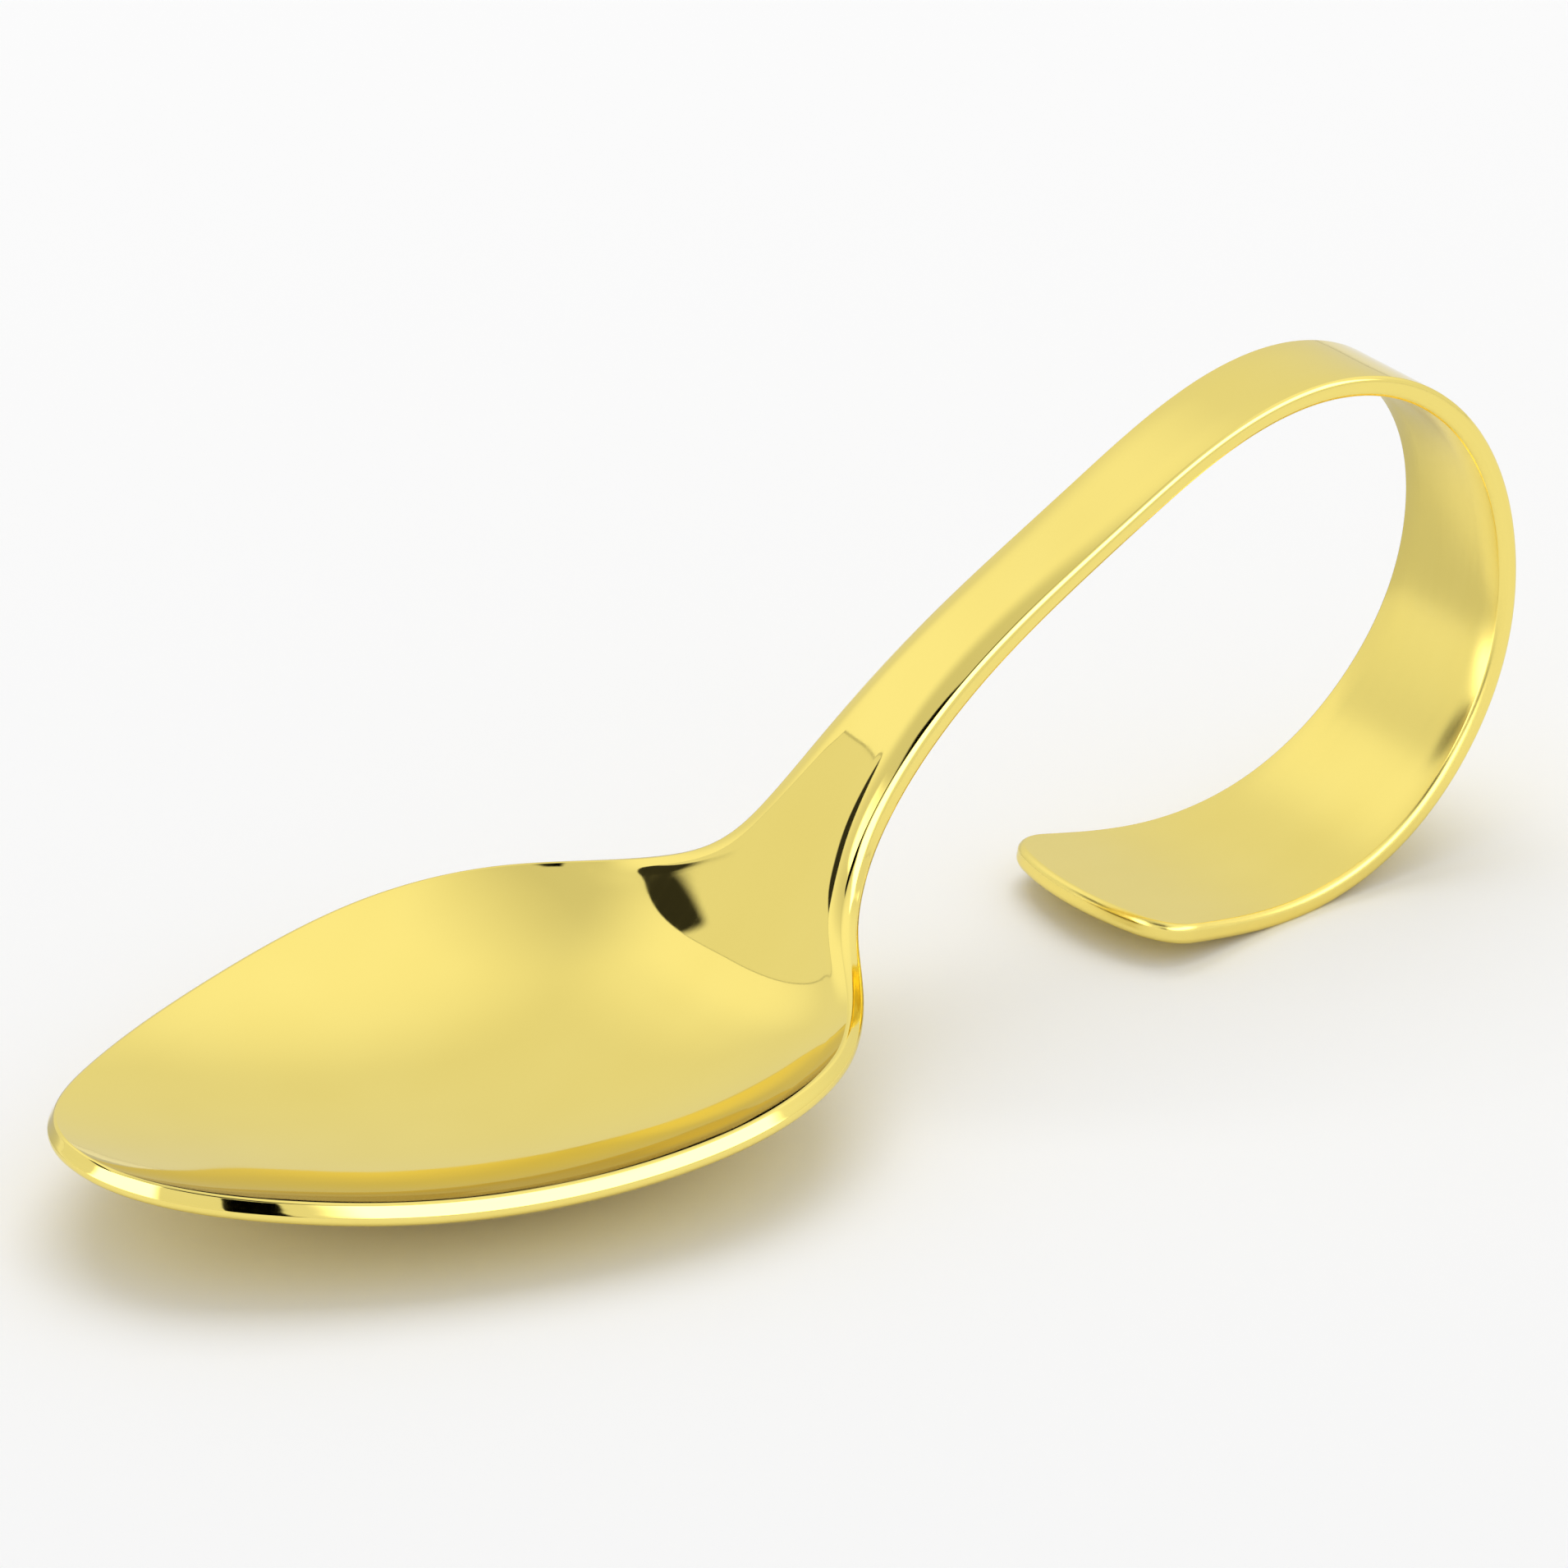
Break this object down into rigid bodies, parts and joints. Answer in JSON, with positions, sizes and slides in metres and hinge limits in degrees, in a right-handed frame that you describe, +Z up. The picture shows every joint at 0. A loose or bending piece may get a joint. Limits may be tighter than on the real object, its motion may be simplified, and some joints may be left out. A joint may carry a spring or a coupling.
{
  "type": "gourmet spoon",
  "caption": "Gold-coloured steel one-bite spoon with an egg-shaped bowl and a handle that curls over in a finger loop and returns under itself as a foot.",
  "frame": {"origin": "middle of the spoon's bounding box, on the table that it stands on", "axes": "+X from the bowl's tip towards the finger loop, +Y across the bowl, +Z up"},
  "size_m": [0.1258, 0.0434, 0.0402],
  "materials": {
    "gold_steel": "polished stainless steel with a thin gold-coloured vacuum coating"
  },
  "bodies": {
    "root": {"bowl": "gold_steel", "neck": "gold_steel", "stem": "gold_steel", "loop_crest": "gold_steel", "loop_back": "gold_steel", "tail_foot": "gold_steel"}
  },
  "joints": []
}
